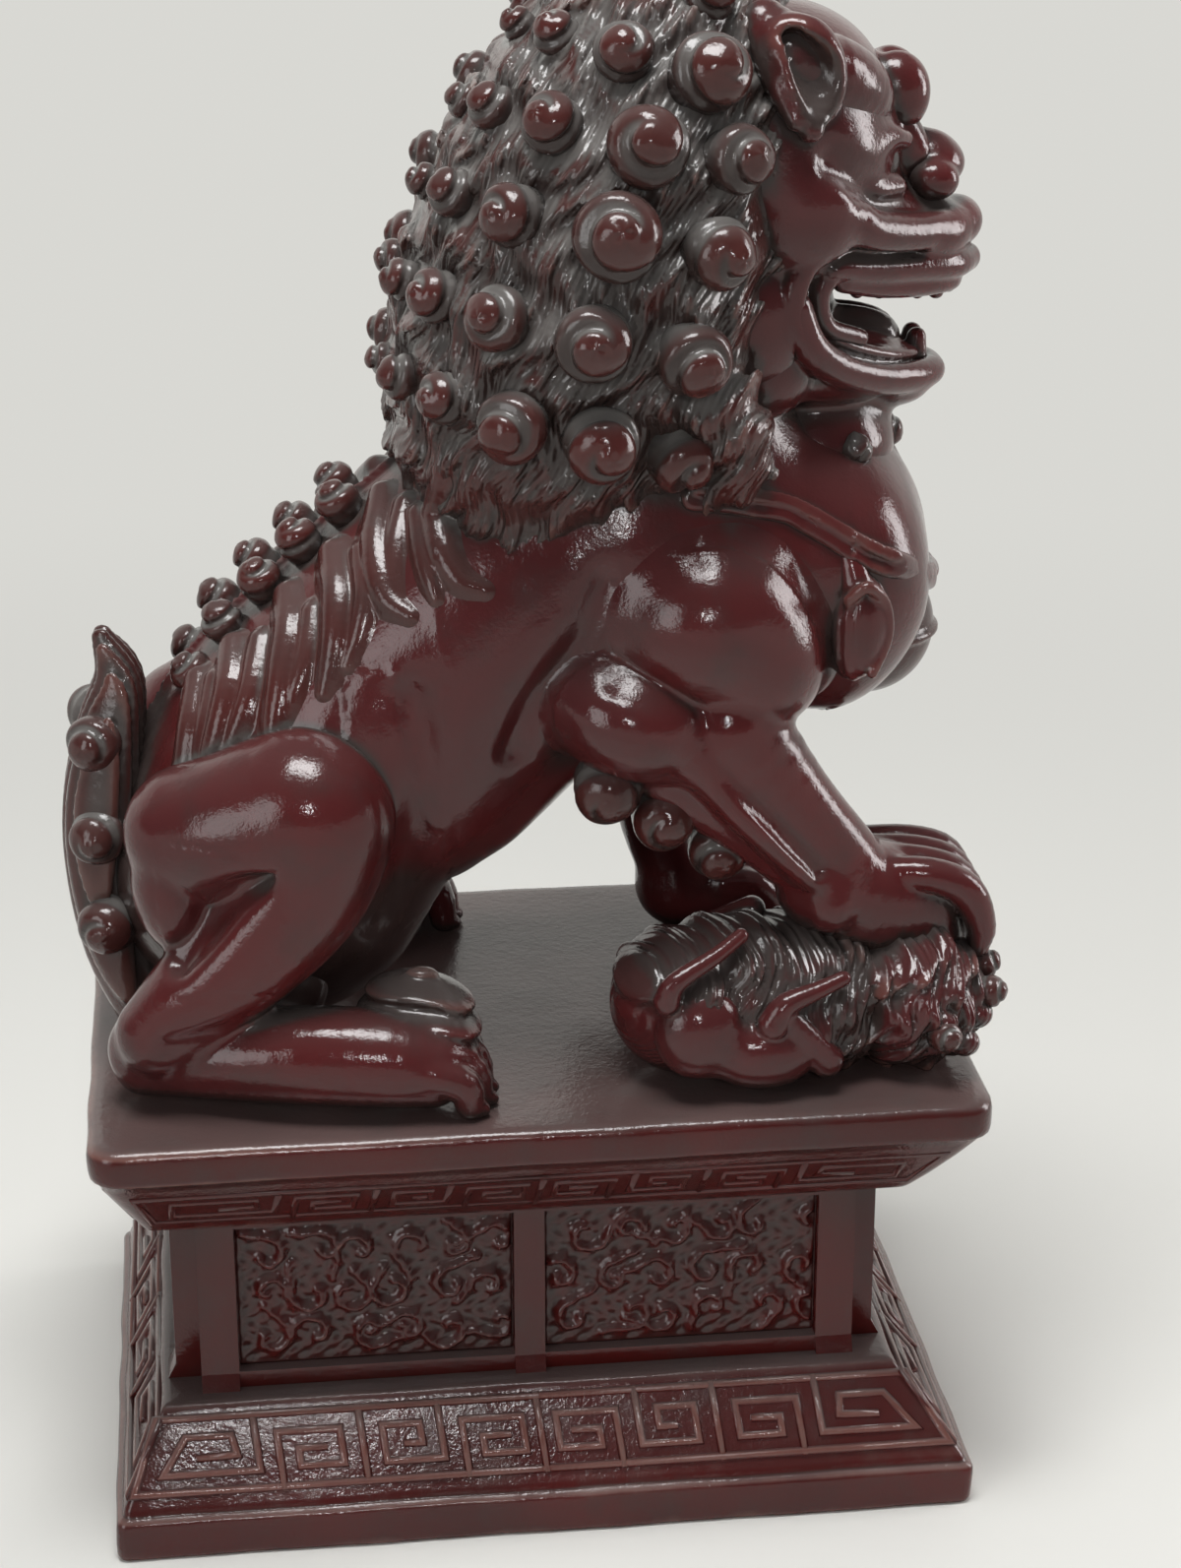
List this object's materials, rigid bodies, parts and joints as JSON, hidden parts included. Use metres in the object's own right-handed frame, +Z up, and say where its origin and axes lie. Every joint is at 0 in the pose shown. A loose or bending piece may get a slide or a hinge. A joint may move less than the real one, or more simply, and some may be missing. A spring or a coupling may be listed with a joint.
{
  "type": "guardian lion figurine",
  "caption": "Seated guardian lion with a curled mane and open mouth, its right forepaw on a cub, on a stepped rectangular plinth; a free-standing ornament.",
  "frame": {"origin": "middle of the flat face under the plinth's foot", "axes": "+X the way the lion faces, +Y towards its left side, +Z up"},
  "size_m": [0.1321, 0.086, 0.2203],
  "materials": {
    "plinth_resin": "glossy dark maroon cast resin, near black in the hollows, worn on the edges",
    "figure_resin": "glossy maroon cast resin, redder on the smooth muscles",
    "hair_resin": "glossy maroon cast resin with fine carved streaks and dusty hollows",
    "dark_resin": "glossy dark brown cast resin"
  },
  "bodies": {
    "root": {"plinth_foot": "plinth_resin", "plinth_waist": "plinth_resin", "waist_panels": "plinth_resin", "plinth_cap": "plinth_resin", "torso": "figure_resin", "head": "figure_resin", "lower_jaw": "figure_resin", "tongue": "figure_resin", "upper_teeth": "figure_resin", "lower_teeth": "figure_resin", "nose": "figure_resin", "brows": "figure_resin", "ears": "figure_resin", "right_foreleg": "figure_resin", "left_foreleg": "figure_resin", "right_hind_leg": "figure_resin", "left_hind_leg": "figure_resin", "collar": "figure_resin", "tassels": "figure_resin", "cub_body": "figure_resin", "cub_head": "figure_resin", "cub_legs": "figure_resin", "mane": "hair_resin", "upper_curls_right": "hair_resin", "lower_curls_right": "hair_resin", "upper_curls_left": "hair_resin", "lower_curls_left": "hair_resin", "spine_curls": "hair_resin", "back_locks": "hair_resin", "beard_curls": "hair_resin", "right_elbow_curls": "hair_resin", "left_elbow_curls": "hair_resin", "tail": "hair_resin", "tail_curls": "hair_resin", "cub_curls": "hair_resin", "eyes": "dark_resin", "bell": "dark_resin"}
  },
  "joints": []
}
